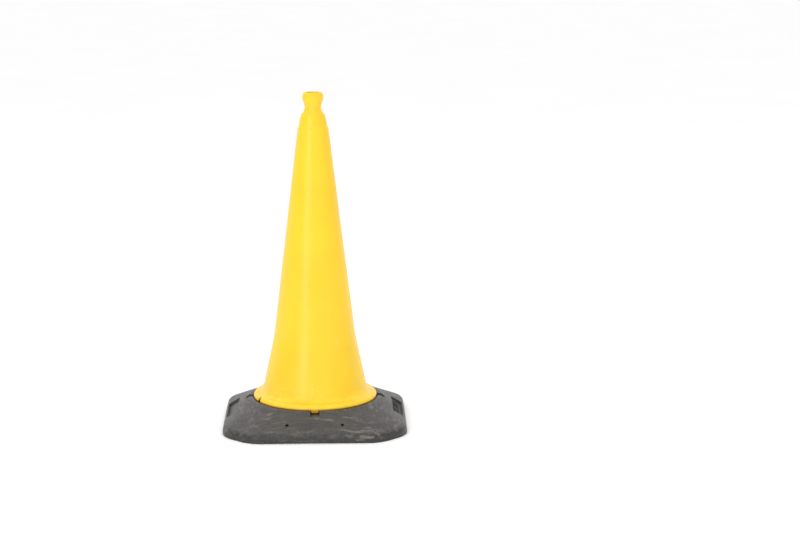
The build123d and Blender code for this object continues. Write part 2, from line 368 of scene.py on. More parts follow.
def moulded_polyethylene(yellow):
    """Polyethylene, moulded in a polished tool: a waxy satin skin that light enters a little way."""
    material = bpy.data.materials.new("Yellow moulded polyethylene")
    material.use_nodes = True
    tree = material.node_tree
    tree.nodes.clear()
    add = partial(add_node, tree)
    place = add("ShaderNodeTexCoord").outputs["Object"]
    height = add("ShaderNodeSeparateXYZ", {0: place}).outputs["Z"]

    # Pigment clouds about 120 mm across
    cloud = add("ShaderNodeTexNoise", {"Vector": place, "Scale": 8.0, "Detail": 3.0})
    shade = add("ShaderNodeMapRange", {"Value": cloud.outputs["Fac"], 1: 0.3, 2: 0.7, 3: 0.93, 4: 1.03})
    pigment = add(
        "ShaderNodeHueSaturation", {"Color": linear(yellow), "Value": shade.outputs["Result"]}
    ).outputs["Color"]

    # Upright draw marks, 4 mm apart and far longer than wide, where the core slid out of the tool
    drawn = add("ShaderNodeMapping", {"Vector": place, "Scale": (250.0, 250.0, 5.0)}).outputs["Vector"]
    marks = add("ShaderNodeTexNoise", {"Vector": drawn, "Scale": 1.0, "Detail": 4.0}).outputs["Fac"]

    # Scuffs: thin wandering lines, thicker low down where cones rub and are stacked
    warped = add("ShaderNodeTexNoise", {"Vector": place, "Scale": 34.0, "Detail": 6.0, "Distortion": 2.4})
    line = add("ShaderNodeMath", {0: warped.outputs["Fac"], 1: 0.5}, operation="SUBTRACT")
    line = add("ShaderNodeMath", {0: line.outputs[0]}, operation="ABSOLUTE")
    line = add("ShaderNodeMapRange", {"Value": line.outputs[0], 1: 0.0, 2: 0.012, 3: 1.0, 4: 0.0})
    patch = add("ShaderNodeTexNoise", {"Vector": place, "Scale": 17.0, "Detail": 3.0})
    patch = add("ShaderNodeMapRange", {"Value": patch.outputs["Fac"], 1: 0.5, 2: 0.66})
    low = add("ShaderNodeMapRange", {"Value": height, 1: 0.42, 2: 0.09, 3: 0.25, 4: 1.0})
    scuff = add("ShaderNodeMath", {0: line.outputs[0], 1: patch.outputs[0]}, operation="MULTIPLY")
    scuff = add("ShaderNodeMath", {0: scuff.outputs[0], 1: low.outputs[0]}, operation="MULTIPLY")
    scuffed = add(
        "ShaderNodeMix", {"Factor": scuff.outputs[0], 6: pigment, 7: linear("FFDF7A")}, data_type="RGBA"
    ).outputs[2]

    # Handling grime in the neck and above the flange, in 20 mm blotches
    blotch = add("ShaderNodeTexNoise", {"Vector": place, "Scale": 50.0, "Detail": 5.0, "Roughness": 0.65})
    blotch = add("ShaderNodeMapRange", {"Value": blotch.outputs["Fac"], 1: 0.46, 2: 0.72})
    near_foot = add("ShaderNodeMapRange", {"Value": height, 1: 0.115, 2: 0.066, 3: 0.0, 4: 0.16})
    near_top = add("ShaderNodeMapRange", {"Value": height, 1: 0.70, 2: 0.735, 3: 0.0, 4: 0.12})
    where = add("ShaderNodeMath", {0: near_foot.outputs[0], 1: near_top.outputs[0]}, operation="ADD")
    grime = add("ShaderNodeMath", {0: blotch.outputs[0], 1: where.outputs[0]}, operation="MULTIPLY")
    grimed = add(
        "ShaderNodeMix", {"Factor": grime.outputs[0], 6: scuffed, 7: linear("8A6A1C")}, data_type="RGBA"
    ).outputs[2]

    # Painted shade under the flange's rim: the lip's last 4 mm, and the tabs below it, darkened
    # brown-orange where shadow falls between the lip and the base
    painted_rim_shade = add("ShaderNodeMapRange", {"Value": height, 1: 0.0612, 2: 0.0572, 3: 0.0, 4: 0.72})
    colour = add(
        "ShaderNodeMix", {"Factor": painted_rim_shade.outputs[0], 6: grimed, 7: linear("A8700C")}, data_type="RGBA"
    ).outputs[2]

    # Satin: smoother and rougher areas 60 mm across, dull along the scuffs
    gloss = add("ShaderNodeTexNoise", {"Vector": place, "Scale": 16.0, "Detail": 4.0})
    rough = add("ShaderNodeMapRange", {"Value": gloss.outputs["Fac"], 1: 0.3, 2: 0.7, 3: 0.31, 4: 0.41})
    dulled = add(
        "ShaderNodeMath", {0: scuff.outputs[0], 1: 0.2, 2: rough.outputs[0]}, operation="MULTIPLY_ADD"
    )

    # Skin: orange peel 2.5 mm across, the draw marks, and the scuffs cut in. Real orange peel is 1 mm
    # across, which would blur away
    peel = add("ShaderNodeTexNoise", {"Vector": place, "Scale": 400.0, "Detail": 2.0}).outputs["Fac"]
    bumps = add("ShaderNodeBump", {"Strength": 0.35, "Distance": 0.00012, "Height": peel})
    bumps = add(
        "ShaderNodeBump", {"Strength": 0.5, "Distance": 0.0001, "Height": marks, "Normal": bumps.outputs[0]}
    )
    bumps = add(
        "ShaderNodeBump",
        {"Strength": 0.4, "Distance": 0.0002, "Height": scuff.outputs[0], "Normal": bumps.outputs[0]},
        invert=True,
    )
    shader = add(
        "ShaderNodeBsdfPrincipled",
        {
            "Base Color": colour,
            "Roughness": dulled.outputs[0],
            "IOR": 1.51,
            "Normal": bumps.outputs[0],
            "Subsurface Weight": 0.15,
            "Subsurface Radius": (1.0, 0.55, 0.12),
            "Subsurface Scale": 0.004,
        },
    )
    add("ShaderNodeOutputMaterial", {"Surface": shader.outputs["BSDF"]})
    return material


def recycled_rubber(grey):
    """Recycled rubber and plastic, compression moulded: dull warm grey, streaked where the mass ran."""
    material = bpy.data.materials.new("Recycled rubber compound")
    material.use_nodes = True
    tree = material.node_tree
    tree.nodes.clear()
    add = partial(add_node, tree)
    place = add("ShaderNodeTexCoord").outputs["Object"]
    height = add("ShaderNodeSeparateXYZ", {0: place}).outputs["Z"]

    # Flow: the hot mass ran along each side, so its streaks are drawn out along X at front and back,
    # along Y at left and right, and wander by 10 mm
    axes = add("ShaderNodeSeparateXYZ", {0: place})
    east = add("ShaderNodeMath", {0: axes.outputs["X"]}, operation="ABSOLUTE").outputs[0]
    north = add("ShaderNodeMath", {0: axes.outputs["Y"]}, operation="ABSOLUTE").outputs[0]
    which = add("ShaderNodeMath", {0: east, 1: north}, operation="SUBTRACT").outputs[0]
    which = add("ShaderNodeMapRange", {"Value": which, 1: -0.05, 2: 0.05}).outputs[0]
    swirl = add("ShaderNodeTexNoise", {"Vector": place, "Scale": 13.0, "Detail": 3.0}).outputs["Color"]
    swirl = add("ShaderNodeVectorMath", {0: swirl, 1: (0.5, 0.5, 0.5)}, operation="SUBTRACT").outputs[0]
    wandering = add(
        "ShaderNodeVectorMath", {0: swirl, 1: (0.05, 0.05, 0.05), 2: place}, operation="MULTIPLY_ADD"
    ).outputs[0]
    flows = []
    for long_way in ((11.0, 105.0, 105.0), (105.0, 11.0, 105.0)):
        drawn = add("ShaderNodeMapping", {"Vector": wandering, "Scale": long_way}).outputs["Vector"]
        texture = add(
            "ShaderNodeTexNoise", {"Vector": drawn, "Scale": 1.0, "Detail": 7.0, "Roughness": 0.6}
        )
        flows.append(texture.outputs["Fac"])
    flow = add("ShaderNodeMix", {"Factor": which, 2: flows[0], 3: flows[1]}).outputs[0]
    tone = add("ShaderNodeMapRange", {"Value": flow, 1: 0.34, 2: 0.68, 3: 0.6, 4: 1.42})
    mass = add(
        "ShaderNodeHueSaturation", {"Color": linear(grey), "Value": tone.outputs[0]}
    ).outputs["Color"]

    # Pale streaks 3 to 6 mm wide and many times as long, where filler gathered in the flow
    line = add(
        "ShaderNodeMapRange", {"Value": flow, 1: 0.52, 2: 0.63}, interpolation_type="SMOOTHSTEP"
    )
    patch = add("ShaderNodeTexNoise", {"Vector": place, "Scale": 12.0, "Detail": 3.0})
    patch = add("ShaderNodeMapRange", {"Value": patch.outputs["Fac"], 1: 0.42, 2: 0.6, 3: 0.15, 4: 0.6})
    streak = add("ShaderNodeMath", {0: line.outputs[0], 1: patch.outputs[0]}, operation="MULTIPLY")
    streaked = add(
        "ShaderNodeMix", {"Factor": streak.outputs[0], 6: mass, 7: linear("74716C")}, data_type="RGBA"
    ).outputs[2]

    # Crumb: ground tyre grains, each its own shade, in 7 mm clots. Real grains are 1 mm across and would
    # blur away, so these are 2.6 mm
    grains = add("ShaderNodeTexVoronoi", {"Vector": place, "Scale": 380.0})
    grain = add("ShaderNodeSeparateColor", {0: grains.outputs["Color"]}).outputs[0]
    grain = add("ShaderNodeMapRange", {"Value": grain, 3: 0.78, 4: 1.22}).outputs[0]
    mottle = add("ShaderNodeTexNoise", {"Vector": wandering, "Scale": 140.0, "Detail": 4.0}).outputs["Fac"]
    mottle = add("ShaderNodeMapRange", {"Value": mottle, 1: 0.32, 2: 0.68, 3: 0.76, 4: 1.24}).outputs[0]
    grain = add("ShaderNodeMath", {0: grain, 1: mottle}, operation="MULTIPLY").outputs[0]
    crumbed = add("ShaderNodeHueSaturation", {"Color": streaked, "Value": grain}).outputs["Color"]

    # Dust and painted top light: what faces up is paled, in 30 mm drifts
    facing = add("ShaderNodeNewGeometry").outputs["Normal"]
    up = add("ShaderNodeSeparateXYZ", {0: facing}).outputs["Z"]
    up = add("ShaderNodeMapRange", {"Value": up, 1: 0.35, 2: 0.95})
    drift = add("ShaderNodeTexNoise", {"Vector": place, "Scale": 33.0, "Detail": 6.0, "Roughness": 0.7})
    drift = add("ShaderNodeMapRange", {"Value": drift.outputs["Fac"], 1: 0.38, 2: 0.7, 3: 0.0, 4: 0.12})
    dust_and_top_light = add("ShaderNodeMath", {0: up.outputs[0], 1: drift.outputs[0]}, operation="MULTIPLY")
    dusty_and_top_lit = add(
        "ShaderNodeMix", {"Factor": dust_and_top_light.outputs[0], 6: crumbed, 7: linear("8C857A")}, data_type="RGBA"
    ).outputs[2]

    # Rubbed pale along the rounded upper edge of the skirt, where bases knock together
    rise = add("ShaderNodeMapRange", {"Value": height, 1: 0.008, 2: 0.016})
    fall = add("ShaderNodeMapRange", {"Value": height, 1: 0.026, 2: 0.018})
    band = add("ShaderNodeMath", {0: rise.outputs[0], 1: fall.outputs[0]}, operation="MULTIPLY")
    rub = add("ShaderNodeTexNoise", {"Vector": place, "Scale": 90.0, "Detail": 8.0, "Roughness": 0.7})
    rub = add("ShaderNodeMapRange", {"Value": rub.outputs["Fac"], 1: 0.5, 2: 0.72, 3: 0.0, 4: 0.45})
    rubbed = add("ShaderNodeMath", {0: band.outputs[0], 1: rub.outputs[0]}, operation="MULTIPLY")
    scraped = add(
        "ShaderNodeMix", {"Factor": rubbed.outputs[0], 6: dusty_and_top_lit, 7: linear("757069")}, data_type="RGBA"
    ).outputs[2]

    # Painted shade in the recesses, the holes and the channel: darkened near black by ambient occlusion
    # within 14 mm of a wall
    occlusion = add("ShaderNodeAmbientOcclusion", {"Distance": 0.014}, samples=8, only_local=True)
    painted_recess_shade = add("ShaderNodeMapRange", {"Value": occlusion.outputs["AO"], 1: 0.94, 2: 0.5, 3: 0.0, 4: 0.85})
    colour = add(
        "ShaderNodeMix", {"Factor": painted_recess_shade.outputs[0], 6: scraped, 7: linear("161412")}, data_type="RGBA"
    ).outputs[2]

    # The flowed skin is nearly satin in places, and matt where it is open or dusty
    rough = add("ShaderNodeMapRange", {"Value": flow, 1: 0.3, 2: 0.7, 3: 0.36, 4: 0.58})

    # Relief: lumps 12 mm across, the streaks' ridges, the grains, and pits 3 mm across and 8 mm apart
    lump = add("ShaderNodeTexNoise", {"Vector": place, "Scale": 85.0, "Detail": 5.0, "Distortion": 0.8})
    bumps = add("ShaderNodeBump", {"Strength": 0.6, "Distance": 0.0011, "Height": lump.outputs["Fac"]})
    bumps = add(
        "ShaderNodeBump",
        {"Strength": 0.5, "Distance": 0.0005, "Height": streak.outputs[0], "Normal": bumps.outputs[0]},
    )
    bumps = add(
        "ShaderNodeBump",
        {
            "Strength": 0.3,
            "Distance": 0.0004,
            "Height": grains.outputs["Distance"],
            "Normal": bumps.outputs[0],
        },
        invert=True,
    )
    pits = add("ShaderNodeTexVoronoi", {"Vector": place, "Scale": 120.0})
    pit = add("ShaderNodeMapRange", {"Value": pits.outputs["Distance"], 1: 0.1, 2: 0.22, 3: 0.0, 4: 1.0})
    bumps = add(
        "ShaderNodeBump",
        {"Strength": 0.5, "Distance": 0.0006, "Height": pit.outputs[0], "Normal": bumps.outputs[0]},
    )
    shader = add(
        "ShaderNodeBsdfPrincipled",
        {"Base Color": colour, "Roughness": rough.outputs[0], "IOR": 1.52, "Normal": bumps.outputs[0]},
    )
    add("ShaderNodeOutputMaterial", {"Surface": shader.outputs["BSDF"]})
    return material


def studio_paper():
    """White seamless paper: matt, with a faint cloudiness from rolling."""
    material = bpy.data.materials.new("White studio paper")
    material.use_nodes = True
    tree = material.node_tree
    tree.nodes.clear()
    add = partial(add_node, tree)
    place = add("ShaderNodeTexCoord").outputs["Object"]
    cloud = add("ShaderNodeTexNoise", {"Vector": place, "Scale": 2.0, "Detail": 3.0})
    colour = add(
        "ShaderNodeMix",
        {"Factor": cloud.outputs["Fac"], 6: linear("F7F7F7"), 7: linear("FBFBFB")},
        data_type="RGBA",
    ).outputs[2]
    shader = add("ShaderNodeBsdfPrincipled", {"Base Color": colour, "Roughness": 0.9})
    add("ShaderNodeOutputMaterial", {"Surface": shader.outputs["BSDF"]})
    return material


def white_studio():
    """A white room all round, a little darker to the left and right, where its walls are further off."""
    world = bpy.data.worlds.new("White studio")
    world.use_nodes = True
    tree = world.node_tree
    tree.nodes.clear()
    add = partial(add_node, tree)
    direction = add("ShaderNodeTexCoord").outputs["Generated"]
    aside = add("ShaderNodeSeparateXYZ", {0: direction}).outputs["X"]
    aside = add("ShaderNodeMath", {0: aside}, operation="ABSOLUTE").outputs[0]
    strength = add(
        "ShaderNodeMapRange",
        {"Value": aside, 1: 0.5, 2: 0.97, 3: 1.12, 4: 0.62},
        interpolation_type="SMOOTHSTEP",
    )
    light = add("ShaderNodeBackground", {"Color": linear("FFFFFF"), "Strength": strength.outputs[0]})
    add("ShaderNodeOutputWorld", {"Surface": light.outputs[0]})
    return world


# ---------------------------------------------------------------- cone body
def body_profile(wall, lip, lip_bottom=LIP_BOTTOM, lug=False):
    """The body's closed outline as rows of radius and height, down the outside and up the inside."""
    outer, inner = FLANGE_RADIUS, FLANGE_RADIUS - lip
    mouth = 1.7
    path = bend((SOCKET_RADIUS, TOP - mouth), (SOCKET_RADIUS, TOP), (SOCKET_RADIUS + mouth, TOP), 4)
    path += straight((SOCKET_RADIUS + mouth, TOP), GRIP_CREST, 1)
    # The grip: a knob with a squarish crest, its neck, and the shoulder under it
    path += bend(GRIP_CREST, (20.3, TOP), GRIP_CORNER, 4)
    path += arc(GRIP_CORNER, GRIP_SIDE, GRIP_WIDEST, 8)
    path += arc(GRIP_WIDEST, GRIP_LOWER_SIDE, GRIP_FOOT, 4)
    path += curve_through([GRIP_FOOT, NECK, NECK_FOOT, SHOULDER, SHOULDER_FOOT], 9)
    # The step for a sleeve, the two tapers, the bell foot
    tapers = [SHOULDER_FOOT, STEP_TOP, STEP, TAPER_FOOT, BELL_FOOT]
    path += rounded_path(tapers, (2.0, 1.6, 9.0), (4, 1, 92, 22))
    path += arc(BELL_FOOT, FLANGE_HOLLOW, FLANGE_CREST, 8)
    path += arc(FLANGE_CREST, FLANGE_ROUND, (outer, LIP_TOP), 10)
    # The lip that hangs into the base's channel
    edge = 1.1
    path += straight((outer, LIP_TOP), (outer, lip_bottom + edge), 3)
    path += bend((outer, lip_bottom + edge), (outer, lip_bottom), (outer - edge, lip_bottom), 4)
    path += straight((outer - edge, lip_bottom), (inner + edge, lip_bottom), 1)
    path += bend((inner + edge, lip_bottom), (inner, lip_bottom), (inner, lip_bottom + edge), 3)
    path += straight((inner, lip_bottom + edge), (inner, FLANGE_UNDERSIDE - 1), 3)
    path += bend((inner, FLANGE_UNDERSIDE - 1), (inner, FLANGE_UNDERSIDE), (inner - 1, FLANGE_UNDERSIDE), 3)
    path += straight((inner - 1, FLANGE_UNDERSIDE), (SPIGOT_OUTER + 0.6, FLANGE_UNDERSIDE), 5)
    path += straight((SPIGOT_OUTER, FLANGE_UNDERSIDE - 0.6), (SPIGOT_OUTER, LUG_TOP + 1), 5)
    # A lug stands out here, and elsewhere the same rows run on down the spigot
    above, below = (SPIGOT_OUTER, LUG_TOP + 1), (SPIGOT_OUTER, SPIGOT_BOTTOM + 0.8)
    if lug:
        tip = LUG_RADIUS
        path += straight(above, (SPIGOT_OUTER, LUG_TOP), 1)
        path += straight((SPIGOT_OUTER, LUG_TOP), (tip - 0.9, LUG_TOP), 3)
        path += bend((tip - 0.9, LUG_TOP), (tip, LUG_TOP), (tip, LUG_TOP - 0.9), 3)
        path += straight((tip, LUG_TOP - 0.9), (tip, LUG_BOTTOM + 0.9), 1)
        path += bend((tip, LUG_BOTTOM + 0.9), (tip, LUG_BOTTOM), (tip - 0.9, LUG_BOTTOM), 3)
        path += straight((tip - 0.9, LUG_BOTTOM), (SPIGOT_OUTER, LUG_BOTTOM), 3)
    else:
        path += straight(above, below, 14)
    path += bend(below, (SPIGOT_OUTER, SPIGOT_BOTTOM), (SPIGOT_OUTER - 0.8, SPIGOT_BOTTOM), 3)
    path += straight((SPIGOT_OUTER - 0.8, SPIGOT_BOTTOM), (SPIGOT_INNER + 0.8, SPIGOT_BOTTOM), 2)
    inner_corner = (SPIGOT_INNER, SPIGOT_BOTTOM)
    path += bend((SPIGOT_INNER + 0.8, SPIGOT_BOTTOM), inner_corner, (SPIGOT_INNER, SPIGOT_BOTTOM + 0.8), 3)
    # Back up the inside, a wall's thickness from the outside
    inside = [(SPIGOT_INNER, SPIGOT_BOTTOM + 0.8), (SPIGOT_INNER, FLANGE_UNDERSIDE)]
    inside += [(BELL_FOOT[0] - wall, BELL_FOOT_INSIDE)]
    inside += [(r - wall, z) for r, z in (TAPER_FOOT, STEP, SHOULDER_FOOT)]
    inside += [(SOCKET_RADIUS + 4, SOCKET_END), (SOCKET_RADIUS, SOCKET_END), (SOCKET_RADIUS, TOP - mouth)]
    path += rounded_path(inside, (4, 4, 8, 5, 3, 1, 0.6), (5, 1, 14, 44, 2, 2, 1, 8))
    return np.array(path)


def body_columns(count):
    """Azimuths in degrees of the body's mesh columns, evenly spaced but closer at each edge of a detail."""
    exact = []
    for middle in (90, 270):
        for side in (2.55, 2.9, 3.2, 3.55, 3.9, 4.25):
            exact += [middle - side, middle + side]
    for middle in (NOTCH_ANGLE, NOTCH_ANGLE + 180):
        for side in (0.0, 1.5, 1.95, 2.2, 2.45, 2.75):
            exact += [middle - side, middle + side]
    for middle in (45, 135, 225, 315):
        for side in (LUG_HALF_ANGLE - 0.35, LUG_HALF_ANGLE):
            exact += [middle - side, middle + side]
    exact = sorted(set(exact))
    gap = 360 / count
    even = [i * gap for i in range(count)]
    kept = [a for a in even if min(abs(around(a, e, 360)) for e in exact) > gap * 0.3]
    return np.array(sorted(kept + exact))


def body_grid(wall, lip, count, waviness):
    """The body's surface as rows x columns x 3."""
    azimuth = body_columns(count)
    plain = body_profile(wall, lip)
    tab = body_profile(wall, lip, lip_bottom=TAB_BOTTOM)
    lug = body_profile(wall, lip, lug=True)
    # In a notch the flange ends short, as one upright edge
    notch = plain.copy()
    cut = np.flatnonzero(plain[:, 0] > NOTCH_RADIUS)
    start = (NOTCH_RADIUS, plain[cut[0], 1])
    notch[cut] = straight(start, (NOTCH_RADIUS, FLANGE_UNDERSIDE), len(cut))
    tab_share = 1 - smooth(np.abs(around(azimuth, 90, 180)), 2.8, 4.0)
    notch_share = 1 - smooth(np.abs(around(azimuth, NOTCH_ANGLE, 180)), 1.8, 2.6)
    lug_share = (np.abs(around(azimuth, 45, 90)) < LUG_HALF_ANGLE - 0.2).astype(float)
    section = plain[:, None, :] + tab_share[None, :, None] * (tab - plain)[:, None, :]
    section = section + notch_share[None, :, None] * (notch - plain)[:, None, :]
    section = section + lug_share[None, :, None] * (lug - plain)[:, None, :]
    radius, level = section[..., 0], section[..., 1]
    turned = np.radians(azimuth)[None, :]
    # The wall wanders a little, inside and outside together, but not at the fits
    probe = np.stack([60 * np.cos(turned) + 0 * level, 60 * np.sin(turned) + 0 * level, level], axis=-1)
    loose = smooth(level, 78, 120) * (1 - smooth(level, 640, 690))
    sway = 0.65 * wander(probe, 95, 1) + 0.35 * wander(probe, 38, 2)
    radius = radius + waviness * 2 * sway * loose
    return np.stack([radius * np.cos(turned), radius * np.sin(turned), level], axis=-1)


# ---------------------------------------------------------------- base
def outline_radius(azimuth, half, leg, radius):
    """Distance from the axis to the edge of a square whose corners are cut at 45 degrees and rounded."""
    fold = np.abs((azimuth + QUARTER / 2) % QUARTER - QUARTER / 2)
    side_end = half - leg - radius * math.tan(TURN / 16)
    centre = (half - radius, side_end)
    c, s = np.cos(fold), np.sin(fold)
    along = centre[0] * c + centre[1] * s
    rounded = along + np.sqrt(np.maximum(along**2 - centre[0] ** 2 - centre[1] ** 2 + radius**2, 0))
    flat = half / c
    cut = (2 * half - leg) / (c + s)
    cut_start = math.atan2(centre[1] + radius * math.sin(TURN / 8), centre[0] + radius * math.cos(TURN / 8))
    return np.where(fold <= math.atan2(side_end, half), flat, np.where(fold >= cut_start, cut, rounded))


def base_columns():
    """Each column as (rib line, distance beside it, next rib line, distance before it, share between)."""
    pitch = TURN / RIB_COUNT
    columns = []
    for k in range(RIB_COUNT):
        steps = {True: (3.0, 3.7, 4.3, 6.5, 8.8, 9.3, 10.1, 10.8), False: (3.0, 3.7, 4.3)}
        mine, theirs = steps[k % 4 == 0], steps[(k + 1) % 4 == 0]
        near_side = k % 4 in (0, 3)
        between = 49 if near_side else 24
        here, there = k * pitch, (k + 1) * pitch
        columns.append((here, 0.0, there, 0.0, 0.0))
        columns += [(here, d, there, 0.0, 0.0) for d in mine]
        columns += [(here, mine[-1], there, theirs[-1], i / between) for i in range(1, between)]
        columns += [(here, 0.0, there, d, 1.0) for d in reversed(theirs)]
    return np.array(columns).T


def base_section(azimuth, half, leg, corner, skirt, skirt_round):
    """Radius and height of every row at these azimuths, rows x columns, and the rows' spans by name."""
    rows = []
    spans = {}

    def outline(i):
        return outline_radius(azimuth[i], half, leg, corner)

    def pocket_edge(i):
        inset = POCKET_INSET
        return outline_radius(azimuth[i], half - inset, leg + POCKET_EXTRA_LEG, corner - inset)

    def go(name, place):
        """Adds the span's rows; place gives the point at row i, a share t of the way along the span."""
        first, count = len(rows), BASE_ROWS[name]
        for n in range(count):
            rows.append(place(first + n, n / count))
        spans[name] = slice(first, first + count)

    def curve(a, b, c, t):
        """A point of the curve from a to c that turns at b."""
        return tuple(p * (1 - t) ** 2 + 2 * q * t * (1 - t) + r * t * t for p, q, r in zip(a, b, c))

    def line(a, b, t):
        return tuple(p + (q - p) * t for p, q in zip(a, b))

    def slope(i):
        """The skirt's top, the start and end of the slope past the roundings, and the ring's edge."""
        edge = outline(i)
        fall = np.arctan2(RING_LEVEL - skirt, edge - RING_RADIUS)
        out, up = np.cos(fall), np.sin(fall)
        reach = skirt_round * np.tan((QUARTER - fall) / 2)
        ring_reach = 2.2
        low = (edge - reach * out, skirt + reach * up)
        high = (RING_RADIUS + ring_reach * out, RING_LEVEL - ring_reach * up)
        return (edge, skirt - reach), (edge, skirt + 0 * edge), low, high, ring_reach

    go("toe", lambda i, t: curve((outline(i) - 2, 0 * outline(i)), (outline(i), 0), (outline(i), 2), t))
    go("skirt", lambda i, t: line((outline(i), 2), slope(i)[0], t))
    go("shoulder", lambda i, t: curve(slope(i)[0], slope(i)[1], slope(i)[2], t))
    go("slope", lambda i, t: line(slope(i)[2], slope(i)[3], t))
    go("ring_round", lambda i, t: curve(
        slope(i)[3], (RING_RADIUS, RING_LEVEL), (RING_RADIUS - slope(i)[4], RING_LEVEL), t))
    go("ring", lambda i, t: line((RING_RADIUS - 2.2, RING_LEVEL), (CHANNEL_RADIUS + 1, RING_LEVEL), t))
    go("channel_edge", lambda i, t: curve(
        (CHANNEL_RADIUS + 1, RING_LEVEL),
        (CHANNEL_RADIUS, RING_LEVEL),
        (CHANNEL_RADIUS, RING_LEVEL - 1), t))
    go("channel_wall", lambda i, t: line(
        (CHANNEL_RADIUS, RING_LEVEL - 1), (CHANNEL_RADIUS, CHANNEL_FLOOR + 1), t))
    go("channel_toe", lambda i, t: curve(
        (CHANNEL_RADIUS, CHANNEL_FLOOR + 1),
        (CHANNEL_RADIUS, CHANNEL_FLOOR),
        (CHANNEL_RADIUS - 1, CHANNEL_FLOOR), t))
    go("channel_floor", lambda i, t: line(
        (CHANNEL_RADIUS - 1, CHANNEL_FLOOR), (LEDGE_RADIUS + 0.6, CHANNEL_FLOOR), t))
    ledge = FLANGE_UNDERSIDE - 0.15
    go("ledge_wall", lambda i, t: line((LEDGE_RADIUS, CHANNEL_FLOOR + 0.6), (LEDGE_RADIUS, ledge - 1), t))
    go("ledge_edge", lambda i, t: curve(
        (LEDGE_RADIUS, ledge - 1), (LEDGE_RADIUS, ledge), (LEDGE_RADIUS - 1, ledge), t))
    go("ledge", lambda i, t: line((LEDGE_RADIUS - 1, ledge), (SEAT_RADIUS + 1, ledge), t))
    go("seat_edge", lambda i, t: curve(
        (SEAT_RADIUS + 1, ledge), (SEAT_RADIUS, ledge), (SEAT_RADIUS, ledge - 1), t))
    go("seat", lambda i, t: line((SEAT_RADIUS, ledge - 1), (SEAT_RADIUS, LEDGE_UNDERSIDE + 0.6), t))
    go("track_top", lambda i, t: line(
        (SEAT_RADIUS + 0.6, LEDGE_UNDERSIDE), (TRACK_RADIUS - 0.5, LEDGE_UNDERSIDE), t))
    go("track", lambda i, t: line((TRACK_RADIUS, LEDGE_UNDERSIDE - 0.5), (TRACK_RADIUS, 1.0), t))
    go("hub", lambda i, t: line((TRACK_RADIUS + 1, 0.0), (HUB_RADIUS - 0.8, 0.0), t))
    go("pocket_in", lambda i, t: line((HUB_RADIUS, 0.8), (HUB_RADIUS + 0.4, POCKET_TOP - 1), t))
    go("pocket_top", lambda i, t: (HUB_RADIUS + 2, POCKET_TOP))
    go("pocket_slope", lambda i, t: line(
        (HUB_RADIUS + 4, POCKET_TOP), (pocket_edge(i) - 1, 8.7), t))
    go("pocket_out", lambda i, t: line((pocket_edge(i), 8.0), (pocket_edge(i), 0.8), t))
    go("rim", lambda i, t: line((pocket_edge(i) + 0.8, 0.0), (outline(i) - 3, 0.0), t))
    shape = azimuth.shape[1]
    radius = np.array([np.broadcast_to(r, shape) for r, z in rows], float)
    level = np.array([np.broadcast_to(z, shape) for r, z in rows], float)
    return radius, level, spans


def pinch(distance, reach=1.1):
    """Draws distances from an edge towards 0, so that the points near an edge lie on it."""
    size = np.abs(distance)
    kept = 0.15
    drawn = np.where(size < reach, size * kept, reach * kept + (size - reach) * (2 - kept))
    return np.where(size < 2 * reach, np.sign(distance) * drawn, distance)


def rounded_box(u, v, half_u, half_v, corner):
    """Signed distance to a rounded rectangle, and its gradient."""
    qu, qv = np.abs(u) - half_u + corner, np.abs(v) - half_v + corner
    ou, ov = np.maximum(qu, 0), np.maximum(qv, 0)
    outside = np.hypot(ou, ov)
    distance = outside + np.minimum(np.maximum(qu, qv), 0) - corner
    safe = np.maximum(outside, 1e-9)
    gu = np.where(outside > 1e-9, ou / safe, (qu > qv).astype(float)) * np.sign(u)
    gv = np.where(outside > 1e-9, ov / safe, (qu <= qv).astype(float)) * np.sign(v)
    return distance, gu, gv


def press_details(points, half, skirt):
    """Sinks the holes and label recesses into the slopes, and raises the plain bars in one recess."""
    lean = math.atan2(RING_LEVEL - skirt, half - RING_RADIUS)
    for side in range(4):
        turn = side * QUARTER
        outward = np.array([math.cos(turn), math.sin(turn), 0.0])
        along = np.array([-outward[1], outward[0], 0.0])
        normal = outward * math.sin(lean) + np.array([0, 0, math.cos(lean)])
        down = outward * math.cos(lean) - np.array([0, 0, math.sin(lean)])
        details = []
        if side % 2:
            details = [(HOLE_DISTANCE, aside, "hole") for aside in (-HOLE_ASIDE, HOLE_ASIDE)]
        else:
            details = [(RECESS_DISTANCE, 0.0, "recess")]
            if side == 0:
                details += [(RECESS_DISTANCE, BAR_PITCH * i, "bar") for i in range(-2, 3)]
        for distance, aside, kind in details:
            level = RING_LEVEL - (distance - RING_RADIUS) * math.tan(lean)
            centre = outward * distance + along * aside + np.array([0, 0, level])
            from_centre = points - centre
            u, v, h = from_centre @ along, from_centre @ down, from_centre @ normal
            if kind == "hole":
                edge = np.hypot(u, v)
                gu, gv = u / np.maximum(edge, 1e-9), v / np.maximum(edge, 1e-9)
                edge = edge - HOLE_RADIUS
                reach = 1.0
            elif kind == "recess":
                edge, gu, gv = rounded_box(u, v, RECESS_HALF_LENGTH, RECESS_HALF_WIDTH, RECESS_ROUND)
                reach = 1.1
            else:
                edge, gu, gv = rounded_box(u, v, BAR_HALF_WIDTH, BAR_HALF_LENGTH, 0.6)
                reach = 1.1
            near = (np.abs(h) < 11) & (edge < 4)
            drawn = pinch(edge, reach)
            inside = smooth(-drawn, -0.22, 0.22) * near
            move = ((drawn - edge) * near)[..., None]
            moved = points + move * (gu[..., None] * along + gv[..., None] * down)
            if kind == "hole":
                sink = -HOLE_DEPTH * inside
            elif kind == "recess":
                sink = -(RECESS_DEPTH + h) * inside
            else:
                sink = BAR_HEIGHT * inside
            points = moved + sink[..., None] * normal
    return points


